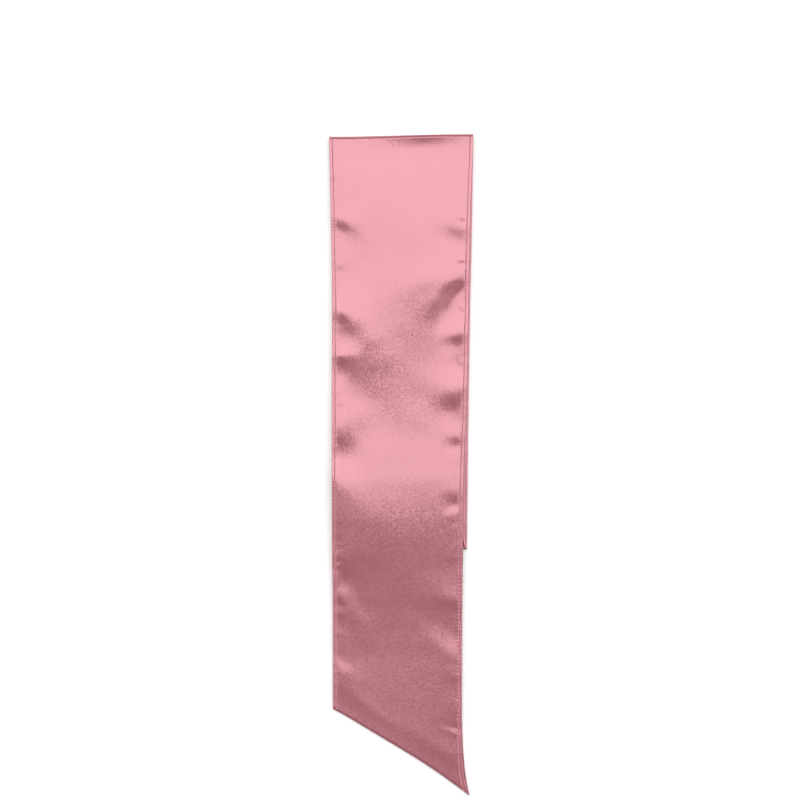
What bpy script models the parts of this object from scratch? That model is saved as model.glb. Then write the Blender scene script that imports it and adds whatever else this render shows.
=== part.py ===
"""A satin sash: one hemmed strip closed into a loop by a slanted seam, pressed flat and folded once.

It lies on its back flap. The front stretch runs from the top fold (+Y) to the pointed seam (-Y), and the
shorter back flap lies under it. +Z is up, and the origin is the middle of the footprint, on the surface.
Metres. "down" is the distance from the top fold, measured along the sash.
"""

import math
from collections import namedtuple

import bmesh
import bpy
from mathutils import Vector

MM = 0.001

# Cloth
CLOTH = 1.0 * MM
PLY_GAP = 0.3 * MM
SEAM_GAP = 0.3 * MM
HEM_WIDTH = 2.4 * MM
HEM_RISE = 0.3 * MM
SEAM_WIDTH = 2.4 * MM
SEAM_END_GAP = 0.36 * MM

# Lengths along the sash
BACK_LENGTH = 310.8 * MM
SIDE_LENGTH = 430.8 * MM
SHEAR_START = 320.0 * MM
UNDER_DROP = 30.0 * MM
FOLD_RISE = 1.9 * MM
FOLD_RISE_WIDTH = 100.0 * MM
FOLD_FADE = 60.0 * MM

# Heights of the plies over the surface, worked out from the wall and the gaps
BACK_TOP = CLOTH
LAYERS_BOTTOM = BACK_TOP + PLY_GAP
LAYERS_TOP = LAYERS_BOTTOM + 2 * CLOTH + PLY_GAP
UNDER_LIFT = LAYERS_TOP - CLOTH
FRONT_LIFT = LAYERS_TOP + PLY_GAP
TOP_FOLD_OUTER = (FRONT_LIFT + CLOTH) / 2
TOP_FOLD_INNER = TOP_FOLD_OUTER - CLOTH
SHOULDER_OUTER = CLOTH + PLY_GAP / 2

# Mesh steps
FOLD_STEPS = 8
SHOULDER_STEPS = 6
FRONT_ROW = 3.2 * MM
BACK_ROW = 26.0 * MM
UNDER_ROW = 8.0 * MM
FRONT_SHARES = (0, 0.05, 0.11, 0.18, 0.27, 0.38, 0.5, 0.62, 0.72, 0.8, 0.87, 0.92, 0.96, 1)
UNDER_SHARES = (0, 0.3, 0.6, 0.8, 0.88, 0.92, 0.96, 1)
BACK_SHARES = (0, 0.2, 0.4, 0.6, 0.8, 1)

# Hem section from its stitched side to its free side: share of the width, cut off the top and the bottom
HemColumn = namedtuple("HemColumn", "share shaved_above lifted_below proud")
HEM_SECTION = (
    HemColumn(share=0.0, shaved_above=0.0 * MM, lifted_below=0.0 * MM, proud=0.0),
    HemColumn(share=0.4, shaved_above=0.0 * MM, lifted_below=0.0 * MM, proud=1.0),
    HemColumn(share=0.85, shaved_above=0.1 * MM, lifted_below=0.05 * MM, proud=0.8),
    HemColumn(share=1.0, shaved_above=0.3 * MM, lifted_below=0.3 * MM, proud=0.3),
)

# Edges of each stretch, as places across the sash
Edges = namedtuple("Edges", "down left right")
FRONT_EDGES = (
    Edges(down=0.0 * MM, left=-54.2 * MM, right=54.2 * MM),
    Edges(down=78.0 * MM, left=-52.5 * MM, right=51.5 * MM),
    Edges(down=130.0 * MM, left=-51.8 * MM, right=50.5 * MM),
    Edges(down=165.0 * MM, left=-52.0 * MM, right=49.8 * MM),
    Edges(down=198.0 * MM, left=-52.1 * MM, right=49.1 * MM),
    Edges(down=259.0 * MM, left=-52.1 * MM, right=46.8 * MM),
    Edges(down=310.0 * MM, left=-52.0 * MM, right=46.0 * MM),
    Edges(down=345.0 * MM, left=-51.5 * MM, right=45.9 * MM),
    Edges(down=431.0 * MM, left=-51.3 * MM, right=45.6 * MM),
    Edges(down=457.0 * MM, left=-51.2 * MM, right=45.4 * MM),
    Edges(down=477.0 * MM, left=-51.2 * MM, right=46.8 * MM),
    Edges(down=489.0 * MM, left=-51.2 * MM, right=49.0 * MM),
    Edges(down=496.0 * MM, left=-51.2 * MM, right=51.4 * MM),
)
UNDER_EDGES = (
    Edges(down=300.0 * MM, left=-51.5 * MM, right=45.4 * MM),
    Edges(down=431.0 * MM, left=-51.0 * MM, right=45.6 * MM),
    Edges(down=457.0 * MM, left=-51.0 * MM, right=46.3 * MM),
    Edges(down=477.0 * MM, left=-51.0 * MM, right=47.9 * MM),
    Edges(down=489.0 * MM, left=-51.0 * MM, right=49.8 * MM),
    Edges(down=496.0 * MM, left=-51.0 * MM, right=51.4 * MM),
)
BACK_EDGES = (
    Edges(down=0.0 * MM, left=-54.2 * MM, right=54.2 * MM),
    Edges(down=78.0 * MM, left=-52.2 * MM, right=53.0 * MM),
    Edges(down=130.0 * MM, left=-51.5 * MM, right=51.8 * MM),
    Edges(down=198.0 * MM, left=-51.8 * MM, right=50.7 * MM),
    Edges(down=310.0 * MM, left=-51.6 * MM, right=49.4 * MM),
)

# The slanted seam: how far down it lies at each place across the sash
SlantPoint = namedtuple("SlantPoint", "across down")
SLANT = (
    SlantPoint(across=-51.2 * MM, down=430.8 * MM),
    SlantPoint(across=-44.0 * MM, down=434.6 * MM),
    SlantPoint(across=-24.3 * MM, down=446.3 * MM),
    SlantPoint(across=13.4 * MM, down=469.1 * MM),
    SlantPoint(across=26.2 * MM, down=477.5 * MM),
    SlantPoint(across=38.9 * MM, down=486.6 * MM),
    SlantPoint(across=45.7 * MM, down=491.5 * MM),
    SlantPoint(across=51.4 * MM, down=495.9 * MM),
)
SLANT_PASSES = 8

# Height of the front ply's underside along its middle and along its edges
Loft = namedtuple("Loft", "down middle edge")
FRONT_LOFT = (
    Loft(down=0.0 * MM, middle=3.9 * MM, edge=3.9 * MM),
    Loft(down=25.0 * MM, middle=4.9 * MM, edge=4.1 * MM),
    Loft(down=60.0 * MM, middle=6.1 * MM, edge=4.3 * MM),
    Loft(down=95.0 * MM, middle=6.4 * MM, edge=4.4 * MM),
    Loft(down=120.0 * MM, middle=6.3 * MM, edge=4.4 * MM),
    Loft(down=150.0 * MM, middle=5.9 * MM, edge=4.4 * MM),
    Loft(down=180.0 * MM, middle=5.5 * MM, edge=4.3 * MM),
    Loft(down=205.0 * MM, middle=5.3 * MM, edge=4.3 * MM),
    Loft(down=225.0 * MM, middle=5.25 * MM, edge=4.3 * MM),
    Loft(down=245.0 * MM, middle=5.5 * MM, edge=4.4 * MM),
    Loft(down=265.0 * MM, middle=6.0 * MM, edge=4.7 * MM),
    Loft(down=280.0 * MM, middle=6.2 * MM, edge=4.8 * MM),
    Loft(down=290.0 * MM, middle=6.1 * MM, edge=4.75 * MM),
    Loft(down=300.0 * MM, middle=5.7 * MM, edge=4.55 * MM),
    Loft(down=315.0 * MM, middle=4.8 * MM, edge=4.0 * MM),
    Loft(down=330.0 * MM, middle=3.85 * MM, edge=3.35 * MM),
    Loft(down=345.0 * MM, middle=3.0 * MM, edge=2.6 * MM),
    Loft(down=360.0 * MM, middle=2.3 * MM, edge=2.1 * MM),
    Loft(down=375.0 * MM, middle=1.8 * MM, edge=1.75 * MM),
    Loft(down=395.0 * MM, middle=1.55 * MM, edge=1.55 * MM),
    Loft(down=450.0 * MM, middle=1.45 * MM, edge=1.45 * MM),
    Loft(down=496.0 * MM, middle=1.3 * MM, edge=1.3 * MM),
)
LOFT_ROUNDNESS = 0.8
SOFT_STOP = 0.3 * MM
FOLD_CALM = 28.0 * MM
SEAM_CALM = 26.0 * MM
HEM_FLAT = 1.6 * MM
HEM_BLEND = 4.6 * MM

PUCKER_REACH = 4
SLOPE_STEP = 0.5 * MM

# Puckers that the hem stitching draws in: a step in the cloth, high on its upper side and low on its lower
# side, or the other way round where the height is negative. "turn" is the step's direction in degrees.
Pucker = namedtuple("Pucker", "across down turn length half_width height")
PUCKERS = (
    Pucker(-47.5 * MM, 67 * MM, -38, 6 * MM, 4.5 * MM, 0.75 * MM),
    Pucker(-1 * MM, 157 * MM, 0, 26 * MM, 24 * MM, 0.7 * MM),
    Pucker(14 * MM, 123 * MM, 10, 16 * MM, 14 * MM, 0.4 * MM),
    Pucker(-12 * MM, 209 * MM, 0, 22 * MM, 12 * MM, 0.3 * MM),
    Pucker(-18 * MM, 182 * MM, -8, 20 * MM, 11 * MM, 0.55 * MM),
    Pucker(-42 * MM, 228 * MM, 0, 9 * MM, 9.5 * MM, 0.9 * MM),
    Pucker(43 * MM, 71.5 * MM, -22, 8 * MM, 5 * MM, 0.38 * MM),
    Pucker(35 * MM, 121 * MM, 48, 15 * MM, 9.5 * MM, 1.0 * MM),
    Pucker(-41 * MM, 141 * MM, -42, 11 * MM, 5 * MM, 0.55 * MM),
    Pucker(-29 * MM, 175 * MM, -4, 12 * MM, 8.5 * MM, 0.45 * MM),
    Pucker(38 * MM, 152 * MM, 0, 7 * MM, 4.5 * MM, 0.35 * MM),
    Pucker(38 * MM, 198 * MM, 5, 9 * MM, 7 * MM, 0.45 * MM),
    Pucker(42 * MM, 229 * MM, 0, 6 * MM, 5 * MM, 0.4 * MM),
    Pucker(40 * MM, 272 * MM, -15, 7 * MM, 5 * MM, 0.3 * MM),
    Pucker(39 * MM, 350 * MM, -15, 13 * MM, 6 * MM, 0.3 * MM),
    Pucker(26 * MM, 372 * MM, -36, 15 * MM, 8 * MM, -0.22 * MM),
    Pucker(-47 * MM, 356 * MM, -20, 5 * MM, 4.5 * MM, -0.13 * MM),
    Pucker(-47 * MM, 371 * MM, -20, 5 * MM, 4.5 * MM, -0.13 * MM),
    Pucker(-46 * MM, 340 * MM, -30, 7 * MM, 4 * MM, -0.25 * MM),
    Pucker(-36 * MM, 352 * MM, -50, 12 * MM, 6 * MM, -0.15 * MM),
    Pucker(41 * MM, 383 * MM, -30, 7 * MM, 4.5 * MM, -0.3 * MM),
    Pucker(-46 * MM, 398 * MM, -30, 7 * MM, 4 * MM, -0.35 * MM),
    Pucker(-22 * MM, 414 * MM, -38, 26 * MM, 9 * MM, -0.3 * MM),
)

# Folds that start at a hem: a crest that runs inwards from it and widens, with the cloth falling away below.
# "turn" is the crest's direction from its start, in degrees from the right, turning up.
Fold = namedtuple("Fold", "across down turn length width height")
FOLDS = (
    Fold(-50 * MM, 131 * MM, -34, 15 * MM, 6 * MM, 1.15 * MM),
    Fold(-52 * MM, 165 * MM, 3, 23 * MM, 5.5 * MM, 1.3 * MM),
    Fold(47 * MM, 149.5 * MM, 178, 7.5 * MM, 4 * MM, 0.95 * MM),
    Fold(47 * MM, 191.5 * MM, 181, 16 * MM, 6.5 * MM, 1.05 * MM),
    Fold(-52 * MM, 254 * MM, -46, 32 * MM, 11 * MM, 1.6 * MM),
)
FOLD_SOFTNESS = 0.25
FOLD_START = 6.0 * MM
FOLD_WIDENING = 2.0

# Section of the folded layers at one side: how far in from the free side, and the height
LayerPoint = namedtuple("LayerPoint", "inset height")
LAYER_MIDDLE = (LAYERS_BOTTOM + LAYERS_TOP) / 2
STITCH_DENT = 0.4 * MM
LAYER_SIDE = (
    LayerPoint(inset=1.0 * MM, height=LAYERS_BOTTOM),
    LayerPoint(inset=0.2 * MM, height=LAYERS_BOTTOM + 0.15 * CLOTH),
    LayerPoint(inset=0.0 * MM, height=LAYERS_BOTTOM + 0.5 * CLOTH),
    LayerPoint(inset=0.2 * MM, height=LAYERS_BOTTOM + 0.85 * CLOTH),
    LayerPoint(inset=1.5 * MM, height=LAYER_MIDDLE),
    LayerPoint(inset=0.2 * MM, height=LAYERS_TOP - 0.85 * CLOTH),
    LayerPoint(inset=0.0 * MM, height=LAYERS_TOP - 0.5 * CLOTH),
    LayerPoint(inset=0.2 * MM, height=LAYERS_TOP - 0.15 * CLOTH),
    LayerPoint(inset=0.8 * MM, height=LAYERS_TOP),
    LayerPoint(inset=HEM_WIDTH - STITCH_DENT, height=LAYERS_TOP),
    LayerPoint(inset=HEM_WIDTH, height=LAYERS_TOP - 0.3 * CLOTH),
    LayerPoint(inset=HEM_WIDTH + STITCH_DENT, height=LAYERS_TOP),
)
LAYERS_INSET_LEFT = 1.2 * MM
LAYERS_INSET_RIGHT = 0.6 * MM
LAYERS_NOSE_DEGREES = (75, 50, 25)

# Section of the slanted seam: share of its width from the cloth to the free side, share of its height
SeamPoint = namedtuple("SeamPoint", "share height")
SEAM_HEIGHT = 2 * CLOTH + PLY_GAP
SEAM_SECTION = (
    SeamPoint(share=0.0, height=0.0),
    SeamPoint(share=0.75, height=0.0),
    SeamPoint(share=1.0, height=0.25),
    SeamPoint(share=1.0, height=0.7),
    SeamPoint(share=0.75, height=1.0),
    SeamPoint(share=0.0, height=1.0),
)
SEAM_STEPS = 16

SATIN_PINK = (0.66, 0.21, 0.27, 1.0)
SATIN_SHADE = (0.52, 0.15, 0.20, 1.0)


def smooth(share):
    """0 below 0, 1 above 1, and an even ease between."""
    share = min(1.0, max(0.0, share))
    return share * share * (3 - 2 * share)


def along(rows, key, value, at):
    """The value at a place along a table of rows, on one smooth curve through them."""
    keys = [getattr(row, key) for row in rows]
    values = [getattr(row, value) for row in rows]
    if at <= keys[0]:
        return values[0]
    if at >= keys[-1]:
        return values[-1]
    steps = [(values[i + 1] - values[i]) / (keys[i + 1] - keys[i]) for i in range(len(keys) - 1)]
    slopes = [steps[0]]
    for before, after in zip(steps, steps[1:]):
        slopes.append(2 * before * after / (before + after) if before * after > 0 else 0.0)
    slopes.append(steps[-1])
    i = max(n for n in range(len(keys) - 1) if keys[n] <= at)
    span = keys[i + 1] - keys[i]
    t = (at - keys[i]) / span
    start = values[i] * (1 + 2 * t) + slopes[i] * span * t
    end = values[i + 1] * (3 - 2 * t) - slopes[i + 1] * span * (1 - t)
    return start * (1 - t) ** 2 + end * t**2


def edge_pair(edges, down):
    return along(edges, "down", "left", down), along(edges, "down", "right", down)


def slant_place(edges, share, before):
    """Across and down of a point this far before the slanted seam's free side, at a share of the width."""
    down = SIDE_LENGTH
    for _ in range(SLANT_PASSES):
        left, right = edge_pair(edges, down)
        across = left + share * (right - left)
        down = along(SLANT, "across", "down", across) - before
    return across, down


def place_y(x, down):
    """The place along +Y, counted from the top fold, which steps up a little towards the right."""
    return -down + FOLD_RISE * smooth(0.5 + x / FOLD_RISE_WIDTH) * (1 - smooth(down / FOLD_FADE))


def under_height(x, down):
    """The underside of the second ply, which drops to the surface past the end of the back flap."""
    return UNDER_LIFT * (1 - smooth((down - BACK_LENGTH) / UNDER_DROP))


def pucker_height(x, down):
    total = 0.0
    for pucker in PUCKERS:
        turn = math.radians(pucker.turn)
        dx = x - pucker.across
        dy = pucker.down - down
        along_step = (dx * math.cos(turn) + dy * math.sin(turn)) / pucker.length
        over_step = (dy * math.cos(turn) - dx * math.sin(turn)) / pucker.half_width
        if max(abs(along_step), abs(over_step)) < PUCKER_REACH:
            total += pucker.height * over_step * math.exp(0.5 - 0.5 * (over_step**2 + along_step**2))
    return total


def fold_height(x, down):
    total = 0.0
    for fold in FOLDS:
        turn = math.radians(fold.turn)
        dx = x - fold.across
        dy = fold.down - down
        run = dx * math.cos(turn) + dy * math.sin(turn)
        side = math.copysign(1.0, math.cos(turn))
        widened = fold.width * (1 + min(FOLD_WIDENING, max(0.0, run / fold.length)))
        below = side * (dx * math.sin(turn) - dy * math.cos(turn)) / widened
        crest = math.exp(FOLD_SOFTNESS - math.sqrt(below * below + FOLD_SOFTNESS**2))
        reach = run / (fold.length if run > 0 else FOLD_START)
        total += fold.height * crest * math.exp(-0.5 * reach**2)
    return total


def front_height(x, down):
    """The front ply's underside: a low arch with its puckers and folds, clear of the ply below."""
    left, right = edge_pair(FRONT_EDGES, down)
    share = min(1.0, max(0.0, (x - left) / (right - left)))
    arch = (4 * share * (1 - share)) ** LOFT_ROUNDNESS
    middle = along(FRONT_LOFT, "down", "middle", down)
    edge = along(FRONT_LOFT, "down", "edge", down)
    to_seam = along(SLANT, "across", "down", x) - down
    calm = smooth((down - TOP_FOLD_OUTER) / FOLD_CALM) * smooth(to_seam / SEAM_CALM)
    stop = under_height(x, down) + CLOTH + PLY_GAP
    off_hem = smooth((min(x - left, right - x) - HEM_FLAT) / HEM_BLEND)
    relief = (pucker_height(x, down) + fold_height(x, down)) * off_hem
    free = (edge + (middle - edge) * arch - stop + relief) * calm
    return stop + (free + math.sqrt(free * free + SOFT_STOP**2) - SOFT_STOP * (1 - calm)) / 2 * calm


def steepness(height, x, down):
    """How much longer the wall is upright than square to the cloth."""
    step = SLOPE_STEP
    slope_x = (height(x + step, down) - height(x - step, down)) / (2 * step)
    slope_y = (height(x, down + step) - height(x, down - step)) / (2 * step)
    return math.sqrt(1 + slope_x**2 + slope_y**2)


def front_point(x, station, lift):
    """A point of the front ply, lift above its underside. A station is a turn round the fold, or a down."""
    turn, down = station
    if turn is not None:
        radius = TOP_FOLD_INNER + lift
        y = place_y(x, TOP_FOLD_OUTER) + radius * math.cos(turn)
        return Vector((x, y, TOP_FOLD_OUTER + radius * math.sin(turn)))
    height = front_height(x, down) + lift * steepness(front_height, x, down)
    return Vector((x, place_y(x, down), height))


def back_point(x, station, lift):
    """A point of the back flap, which lies flat and turns up round the shoulder fold at its end."""
    turn, down = station
    if turn is not None:
        radius = SHOULDER_OUTER - lift
        y = place_y(x, BACK_LENGTH - SHOULDER_OUTER) - radius * math.cos(turn)
        return Vector((x, y, SHOULDER_OUTER + radius * math.sin(turn)))
    return Vector((x, place_y(x, down), lift))


def under_point(x, station, lift):
    """A point of the second ply of the front stretch."""
    down = station[1]
    height = under_height(x, down) + lift * steepness(under_height, x, down)
    return Vector((x, place_y(x, down), height))


def front_rows():
    """Stations of the front stretch at its left edge, from the bottom of the top fold round and down."""
    rows = []
    for i in range(FOLD_STEPS):
        rows.append((math.radians(-90 + 180 * i / FOLD_STEPS), 0.0))
    length = SIDE_LENGTH - TOP_FOLD_OUTER
    count = round(length / FRONT_ROW)
    for i in range(count + 1):
        rows.append((None, TOP_FOLD_OUTER + length * i / count))
    return rows


def back_rows():
    """Stations of the back flap, from the top fold down and round the shoulder fold."""
    start = TOP_FOLD_OUTER + SEAM_GAP
    end = BACK_LENGTH - SHOULDER_OUTER
    count = round((end - start) / BACK_ROW)
    rows = [(None, start + (end - start) * i / count) for i in range(count)]
    for i in range(SHOULDER_STEPS + 1):
        rows.append((math.radians(-90 + 180 * i / SHOULDER_STEPS), end))
    return rows


def under_rows():
    """Stations of the second ply at its left edge, from the folded layers to the slanted seam."""
    start = BACK_LENGTH - SHOULDER_OUTER
    count = round((SIDE_LENGTH - start) / UNDER_ROW)
    return [(None, start + (SIDE_LENGTH - start) * i / count) for i in range(count + 1)]


def sheared(station, edges, share):
    """The station moved down so that the last rows lie along the slanted seam."""
    turn, down = station
    if turn is not None or down <= SHEAR_START:
        return station
    reach = (down - SHEAR_START) / (SIDE_LENGTH - SHEAR_START)
    last = slant_place(edges, share, SEAM_WIDTH + SEAM_END_GAP)[1]
    return turn, down + reach * (last - SIDE_LENGTH)


def plain(station, edges, share):
    return station


def crossing(row, bend, edges, inset, from_right):
    """Across, and the station, of the point of a row this far in from one of the sash's long edges."""
    left, right = edge_pair(edges, bend(row, edges, 1.0 if from_right else 0.0)[1])
    share = inset / (right - left)
    share = 1 - share if from_right else share
    station = bend(row, edges, share)
    left, right = edge_pair(edges, station[1])
    return left + share * (right - left), station


def new_object(name, mesh_data, material):
    mesh = bpy.data.meshes.new(name)
    mesh_data.to_mesh(mesh)
    mesh_data.free()
    mesh.materials.append(material)
    mesh.shade_smooth()
    mesh.set_sharp_from_angle(angle=math.radians(50))
    part = bpy.data.objects.new(name, mesh)
    bpy.context.scene.collection.objects.link(part)
    return part


def wall(name, upper, lower, material):
    """A closed wall between two grids of points, given as rows of equal length."""
    data = bmesh.new()
    top = [[data.verts.new(point) for point in row] for row in upper]
    bottom = [[data.verts.new(point) for point in row] for row in lower]
    last_row = len(top) - 1
    last_column = len(top[0]) - 1
    for i in range(last_row):
        for j in range(last_column):
            data.faces.new((top[i][j], top[i + 1][j], top[i + 1][j + 1], top[i][j + 1]))
            data.faces.new((bottom[i][j], bottom[i][j + 1], bottom[i + 1][j + 1], bottom[i + 1][j]))
        for j, ahead in ((0, False), (last_column, True)):
            rim = (top[i][j], bottom[i][j], bottom[i + 1][j], top[i + 1][j])
            data.faces.new(rim if not ahead else rim[::-1])
    for j in range(last_column):
        for i, ahead in ((0, True), (last_row, False)):
            rim = (top[i][j], bottom[i][j], bottom[i][j + 1], top[i][j + 1])
            data.faces.new(rim if not ahead else rim[::-1])
    bmesh.ops.recalc_face_normals(data, faces=data.faces)
    return new_object(name, data, material)


def rings(name, sections, material):
    """A closed body through rings of points of equal length."""
    data = bmesh.new()
    loops = [[data.verts.new(point) for point in section] for section in sections]
    count = len(loops[0])
    for before, after in zip(loops, loops[1:]):
        for i in range(count):
            j = (i + 1) % count
            data.faces.new((before[i], before[j], after[j], after[i]))
    data.faces.new(loops[0][::-1])
    data.faces.new(loops[-1])
    bmesh.ops.recalc_face_normals(data, faces=data.faces)
    return new_object(name, data, material)


def panel(name, point, rows, bend, edges, shares, material):
    """The cloth between the two hems of one stretch."""
    upper, lower = [], []
    for row in rows:
        top_row, bottom_row = [], []
        left, right = edge_pair(edges, row[1])
        inside = (HEM_WIDTH + SEAM_GAP) / (right - left)
        for share in shares:
            width_share = inside + share * (1 - 2 * inside)
            station = bend(row, edges, width_share)
            left, right = edge_pair(edges, station[1])
            x = left + width_share * (right - left)
            top_row.append(point(x, station, CLOTH))
            bottom_row.append(point(x, station, 0.0))
        upper.append(top_row)
        lower.append(bottom_row)
    return wall(name, upper, lower, material)


def hem(name, point, rows, bend, edges, from_right, proud, material):
    """The narrow turned hem along one edge of a stretch, a little proud of the cloth where it may be."""
    upper, lower = [], []
    for row in rows:
        top_row, bottom_row = [], []
        for column in HEM_SECTION:
            x, station = crossing(row, bend, edges, HEM_WIDTH * (1 - column.share), from_right)
            past_fold = 0.0 if station[0] is not None else station[1] - TOP_FOLD_OUTER
            rise = proud * column.proud * smooth(past_fold / FOLD_CALM)
            top_row.append(point(x, station, CLOTH + rise - column.shaved_above))
            bottom_row.append(point(x, station, column.lifted_below))
        upper.append(top_row)
        lower.append(bottom_row)
    return wall(name, upper, lower, material)


def stretch(name, point, rows, bend, edges, shares, proud, cloth, edging):
    """One stretch of the strip with its left and right hems."""
    panel(f"{name}_stretch", point, rows, bend, edges, shares, cloth)
    hem(f"{name}_hem_left", point, rows, bend, edges, False, proud, edging)
    hem(f"{name}_hem_right", point, rows, bend, edges, True, proud, edging)


def inner_layers(material):
    """The two hidden plies between front and back, as one rounded body that is grooved between them."""
    start = TOP_FOLD_OUTER
    end = BACK_LENGTH - SHOULDER_OUTER - SEAM_GAP
    half = (LAYERS_TOP - LAYERS_BOTTOM) / 2
    turns = [math.radians(degrees) for degrees in LAYERS_NOSE_DEGREES]
    nose = [(start - half * math.sin(turn), math.cos(turn)) for turn in turns]
    count = round((end - start) / BACK_ROW)
    flat = [(start + (end - start) * i / count, 1.0) for i in range(count + 1)]
    sections = []
    for down, fullness in nose + flat:
        left, right = edge_pair(BACK_EDGES, down)
        left += LAYERS_INSET_LEFT
        right -= LAYERS_INSET_RIGHT
        ring = [(right - p.inset, p.height) for p in LAYER_SIDE]
        ring += [(left + p.inset, p.height) for p in reversed(LAYER_SIDE)]
        sections.append(
            [Vector((x, place_y(x, down), LAYER_MIDDLE + (z - LAYER_MIDDLE) * fullness)) for x, z in ring]
        )
    return rings("inner_layers", sections, material)


def slanted_seam(material):
    """The closed end where both ends of the strip are sewn together and turned."""
    sections = []
    for i in range(SEAM_STEPS + 1):
        section = []
        for point in SEAM_SECTION:
            x, down = slant_place(UNDER_EDGES, i / SEAM_STEPS, SEAM_WIDTH * (1 - point.share))
            section.append(Vector((x, place_y(x, down), SEAM_HEIGHT * point.height)))
        sections.append(section)
    return rings("slanted_seam", sections, material)


def satin(name, colour, roughness, metallic):
    material = bpy.data.materials.new(name)
    material.use_nodes = True
    shader = material.node_tree.nodes["Principled BSDF"]
    shader.inputs["Base Color"].default_value = colour
    shader.inputs["Roughness"].default_value = roughness
    shader.inputs["Metallic"].default_value = metallic
    material.diffuse_color = colour
    return material


def centre_on_origin():
    """Moves every piece so that the origin is under the middle of the whole sash."""
    parts = list(bpy.context.scene.objects)
    points = [part.matrix_world @ vertex.co for part in parts for vertex in part.data.vertices]
    low = Vector([min(p[axis] for p in points) for axis in range(3)])
    high = Vector([max(p[axis] for p in points) for axis in range(3)])
    middle = (low + high) / 2
    for part in parts:
        part.location -= Vector((middle.x, middle.y, low.z))


def main():
    for old in list(bpy.data.objects):
        bpy.data.objects.remove(old)
    cloth = satin("satin_pink", SATIN_PINK, 0.32, 0.35)
    edging = satin("satin_hem", SATIN_PINK, 0.42, 0.25)
    shade = satin("satin_inside", SATIN_SHADE, 0.45, 0.2)
    stretch("front", front_point, front_rows(), sheared, FRONT_EDGES, FRONT_SHARES, HEM_RISE, cloth, edging)
    stretch("back", back_point, back_rows(), plain, BACK_EDGES, BACK_SHARES, 0.0, cloth, edging)
    stretch("under", under_point, under_rows(), sheared, UNDER_EDGES, UNDER_SHARES, 0.0, cloth, edging)
    inner_layers(shade)
    slanted_seam(edging)
    centre_on_origin()


main()
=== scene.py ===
"""Looks for the satin sash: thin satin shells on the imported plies, their stitching, light and camera.

The sash is one hemmed strip closed into a loop, pressed flat and folded once. Its cloth runs from the slanted
seam up the front ply, round the top fold, down the back flap, round the flap's end and back up inside, then
down the under ply to the seam again. "down" is the distance from the top fold along the sash, in metres.
"""

import math
from collections import namedtuple

import bpy
import numpy as np
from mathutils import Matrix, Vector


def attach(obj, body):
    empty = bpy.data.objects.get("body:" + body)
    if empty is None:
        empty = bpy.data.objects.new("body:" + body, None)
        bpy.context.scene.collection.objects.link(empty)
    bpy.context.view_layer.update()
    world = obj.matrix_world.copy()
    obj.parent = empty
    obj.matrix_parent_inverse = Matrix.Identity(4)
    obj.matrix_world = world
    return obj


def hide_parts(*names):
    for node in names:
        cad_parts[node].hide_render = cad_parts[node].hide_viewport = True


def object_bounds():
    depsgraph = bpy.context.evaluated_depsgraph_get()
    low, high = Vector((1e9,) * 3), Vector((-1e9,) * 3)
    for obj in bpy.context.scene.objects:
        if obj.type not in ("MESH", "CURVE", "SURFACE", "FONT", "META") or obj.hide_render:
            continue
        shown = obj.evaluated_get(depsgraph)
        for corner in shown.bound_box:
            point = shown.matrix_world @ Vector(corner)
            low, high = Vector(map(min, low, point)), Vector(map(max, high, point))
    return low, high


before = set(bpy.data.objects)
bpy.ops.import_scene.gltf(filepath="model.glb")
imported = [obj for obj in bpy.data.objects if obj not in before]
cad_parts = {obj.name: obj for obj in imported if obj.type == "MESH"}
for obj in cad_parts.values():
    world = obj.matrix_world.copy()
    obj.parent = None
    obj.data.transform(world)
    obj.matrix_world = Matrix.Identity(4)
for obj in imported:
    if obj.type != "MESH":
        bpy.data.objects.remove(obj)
cad_low, cad_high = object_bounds()

MM = 0.001

# Plies, as they are packed
CLOTH = 1.0 * MM
LAYER_TOP = 2.3 * MM
UNDER_LIFT = 2.6 * MM
PLY_STOP = 1.3 * MM
TOP_FOLD = 2.45 * MM
INNER_FOLD = 0.15 * MM
FOLD_FULLNESS = 1.35
SHOULDER_FOLD = 1.15 * MM
BACK_LENGTH = 310.8 * MM
SIDE_LENGTH = 430.8 * MM
SHEAR_START = 320.0 * MM
UNDER_DROP = 30.0 * MM
FOLD_RISE = 1.9 * MM
FOLD_RISE_WIDTH = 100.0 * MM
FOLD_FADE = 60.0 * MM
TOP_Y = cad_high[1] - FOLD_RISE

# Hems and stitching
HEM_WIDTH = 2.4 * MM
HEM_RISE = 0.28 * MM
HEM_EASE = 28.0 * MM
HEM_FLAT = 1.6 * MM
HEM_BLEND = 4.6 * MM
HEM_FOLLOW = 0.4
STITCH_PITCH = 2.3 * MM
STITCH_LENGTH = 1.9 * MM
THREAD_WIDTH = 0.36 * MM
THREAD_HEIGHT = 0.24 * MM
THREAD_SINK = 0.06 * MM
SEWN_REACH = 0.8 * MM
SEWN_DEPTH = 0.055

# The photograph's frame: 800 pixels across at the sash
PIXEL = 0.7526 * MM
PIXELS = 800
CAMERA_HEIGHT = 2.4
CAMERA_PLACE = (-0.94 * MM, 48.7 * MM)
SENSOR = 36.0

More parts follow.
